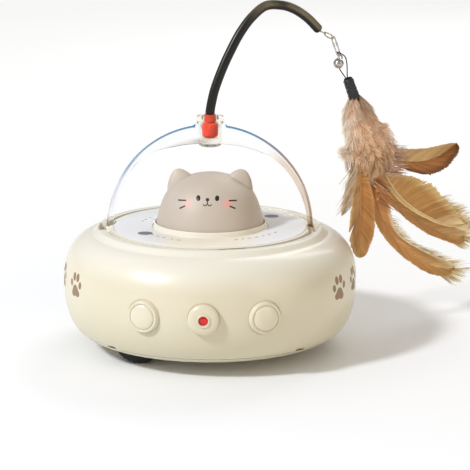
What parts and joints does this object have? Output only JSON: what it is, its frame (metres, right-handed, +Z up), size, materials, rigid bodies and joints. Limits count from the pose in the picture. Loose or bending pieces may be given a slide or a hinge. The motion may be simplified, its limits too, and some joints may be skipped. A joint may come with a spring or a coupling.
{
  "type": "rotating feather cat toy",
  "caption": "Round wheeled cat toy with a turning deck, clear arch and bent wand that swings a feather lure, a fixed cat head, two push buttons and a red pointer light.",
  "frame": {"origin": "centre of the flat underside of the base, on the turntable's axis", "axes": "+Z up along the turntable's axis, front with the buttons towards -Y, +X to the right as seen from the front"},
  "size_m": [0.2681, 0.1946, 0.2216],
  "materials": {
    "shell": "glossy cream",
    "deck": "satin pale grey film",
    "head": "satin greige",
    "clear": "clear glossy",
    "silicone": "translucent red",
    "red_lens": "clear red",
    "wand": "satin black",
    "tyre": "matt black",
    "dark_plastic": "satin dark grey",
    "white_plastic": "natural white",
    "steel": "zinc plated",
    "bright_metal": "nickel plated",
    "circuit_board": "green solder mask",
    "cell": "blue shrink sleeve",
    "cream_cord": "braided",
    "black_cord": "braided",
    "down": "soft down",
    "feather": "brown feather vane"
  },
  "bodies": {
    "base": {"lower_shell": "shell", "upper_shell": "shell", "cat_head": "head", "head_post": "white_plastic", "head_plate": "white_plastic", "head_plate_screw": "steel", "post_screw_1": "steel", "post_screw_2": "steel", "base_screw_1": "steel", "base_screw_2": "steel", "base_screw_3": "steel", "base_screw_4": "steel", "left_button_bezel": "shell", "left_press_switch": "dark_plastic", "left_switch_board": "circuit_board", "right_button_bezel": "shell", "right_press_switch": "dark_plastic", "right_switch_board": "circuit_board", "laser_boss": "shell", "laser_lens": "red_lens", "laser_module": "steel", "main_board": "circuit_board", "control_chip": "dark_plastic", "battery": "cell", "charge_socket": "steel", "charge_board": "circuit_board", "spin_motor": "steel", "thrust_ring": "white_plastic", "rear_gearmotor": "steel", "front_gearmotor": "steel"},
    "turntable": {"turntable": "shell", "deck_ring": "deck", "ring_gear": "white_plastic", "clear_arch": "clear", "arch_socket": "clear"},
    "pinion": {"spin_pinion": "white_plastic"},
    "wand": {"wand_plug": "silicone", "wand_rod": "wand", "tip_cord": "cream_cord"},
    "clasp": {"clasp": "bright_metal"},
    "lure": {"bell": "bright_metal", "bell_pellet": "steel", "cord_loop": "black_cord", "ferrule": "wand", "down_tuft": "down", "feather_upper": "feather", "feather_middle": "feather", "feather_low": "feather", "feather_curved": "feather", "feather_down": "feather", "feather_small": "feather"},
    "left_button": {"left_button_cap": "shell"},
    "right_button": {"right_button_cap": "shell"},
    "rear_wheel": {"rear_tyre": "tyre", "rear_wheel_hub": "dark_plastic"},
    "front_wheel": {"front_tyre": "tyre", "front_wheel_hub": "dark_plastic"},
    "caster_fork": {"caster_fork": "dark_plastic", "caster_axle": "steel"},
    "caster_wheel": {"caster_wheel": "tyre"}
  },
  "joints": [
    {"name": "turntable_spin", "type": "hinge", "parent": "base", "child": "turntable", "pos_m": [0, 0, 0.066], "axis": [0, 0, 1], "continuous": true},
    {"name": "pinion_spin", "type": "hinge", "parent": "base", "child": "pinion", "pos_m": [0, 0.045, 0.06], "axis": [0, 0, 1], "continuous": true},
    {"name": "wand_pull", "type": "slide", "parent": "turntable", "child": "wand", "axis": [0, 0, 1], "range_m": [0, 0.018]},
    {"name": "clasp_swing", "type": "hinge", "parent": "wand", "child": "clasp", "pos_m": [0.07866, 0.03502, 0.1865], "axis": [0.4067, -0.9135, 0], "range_deg": [0, 70]},
    {"name": "lure_swing", "type": "hinge", "parent": "clasp", "child": "lure", "pos_m": [0.08278, 0.03686, 0.17514], "axis": [0.9135, 0.4067, 0], "range_deg": [-35, 35]},
    {"name": "left_button_press", "type": "slide", "parent": "base", "child": "left_button", "axis": [0.3891, 0.9212, 0], "range_m": [0, 0.0012], "stiffness_N_per_m": 400},
    {"name": "right_button_press", "type": "slide", "parent": "base", "child": "right_button", "axis": [-0.3891, 0.9212, 0], "range_m": [0, 0.0012], "stiffness_N_per_m": 400},
    {"name": "rear_wheel_roll", "type": "hinge", "parent": "base", "child": "rear_wheel", "pos_m": [-0.0425, 0.0485, 0.0075], "axis": [0, 1, 0], "continuous": true},
    {"name": "front_wheel_roll", "type": "hinge", "parent": "base", "child": "front_wheel", "pos_m": [-0.0425, -0.0485, 0.0075], "axis": [0, 1, 0], "continuous": true},
    {"name": "caster_swivel", "type": "hinge", "parent": "base", "child": "caster_fork", "pos_m": [0.054, 0, 0.014], "axis": [0, 0, 1], "continuous": true},
    {"name": "caster_roll", "type": "hinge", "parent": "caster_fork", "child": "caster_wheel", "pos_m": [0.049, 0, -0.001], "axis": [0, 1, 0], "continuous": true}
  ],
  "couplings": [
    {"joint": "pinion_spin", "follows": "turntable_spin", "ratio": -4}
  ]
}
